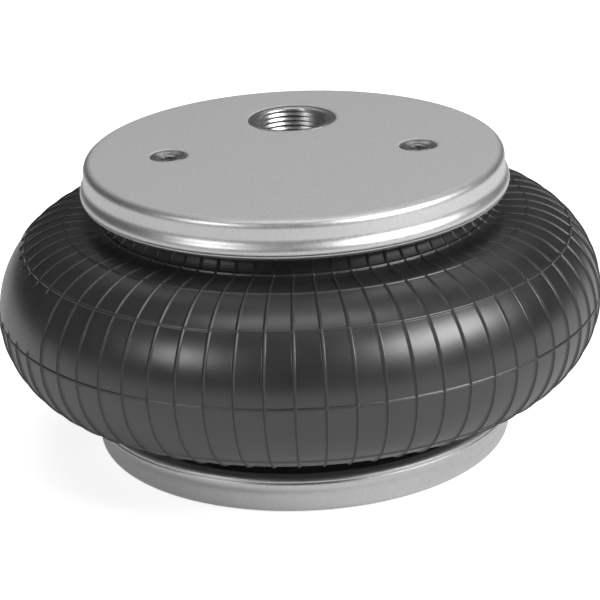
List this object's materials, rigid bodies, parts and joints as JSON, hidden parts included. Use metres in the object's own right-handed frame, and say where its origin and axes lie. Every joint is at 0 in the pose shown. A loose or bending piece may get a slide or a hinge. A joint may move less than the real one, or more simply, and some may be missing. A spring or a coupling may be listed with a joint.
{
  "type": "air bellows actuator",
  "caption": "Single-convolution air bellows actuator: a ribbed rubber bellows crimped between two round steel bead plates, with blind mounting nuts and a threaded air port.",
  "frame": {"origin": "centre of the lower plate's outer face, at the middle of the footprint", "axes": "+Z along the stroke from the lower plate to the upper plate, +X along the line of the mounting nuts, the air port lies towards +Y"},
  "size_m": [0.2181, 0.2181, 0.107],
  "materials": {
    "plate": "zinc plated, satin",
    "socket": "turned and plated",
    "nut": "plated",
    "hoop_wire": "coppered wire",
    "cover_rubber": "satin moulded rubber",
    "cord_ply": "rubbered cord",
    "liner_rubber": "matte rubber"
  },
  "bodies": {
    "lower_plate": {"lower_bead_plate": "plate", "lower_blind_nut_left": "nut", "lower_blind_nut_right": "nut", "lower_bead_hoop": "hoop_wire"},
    "bellows": {"bellows_cover": "cover_rubber", "bellows_outer_ply": "cord_ply", "bellows_inner_ply": "cord_ply", "bellows_liner": "liner_rubber"},
    "upper_plate": {"upper_bead_plate": "plate", "air_port_socket": "socket", "upper_blind_nut_left": "nut", "upper_blind_nut_right": "nut", "upper_bead_hoop": "hoop_wire"}
  },
  "joints": [
    {"name": "lower_half_stroke", "type": "slide", "parent": "lower_plate", "child": "bellows", "axis": [0, 0, 1], "range_m": [-0.028, 0.0135], "stiffness_N_per_m": 9000, "springref_m": 0.001, "deforming": ["bellows_cover", "bellows_outer_ply", "bellows_inner_ply", "bellows_liner"]},
    {"name": "upper_half_stroke", "type": "slide", "parent": "bellows", "child": "upper_plate", "axis": [0, 0, 1], "range_m": [-0.028, 0.0135], "stiffness_N_per_m": 9000, "springref_m": 0.001, "deforming": ["bellows_cover", "bellows_outer_ply", "bellows_inner_ply", "bellows_liner"]}
  ],
  "couplings": [
    {"joint": "lower_half_stroke", "follows": "upper_half_stroke", "ratio": 1}
  ]
}
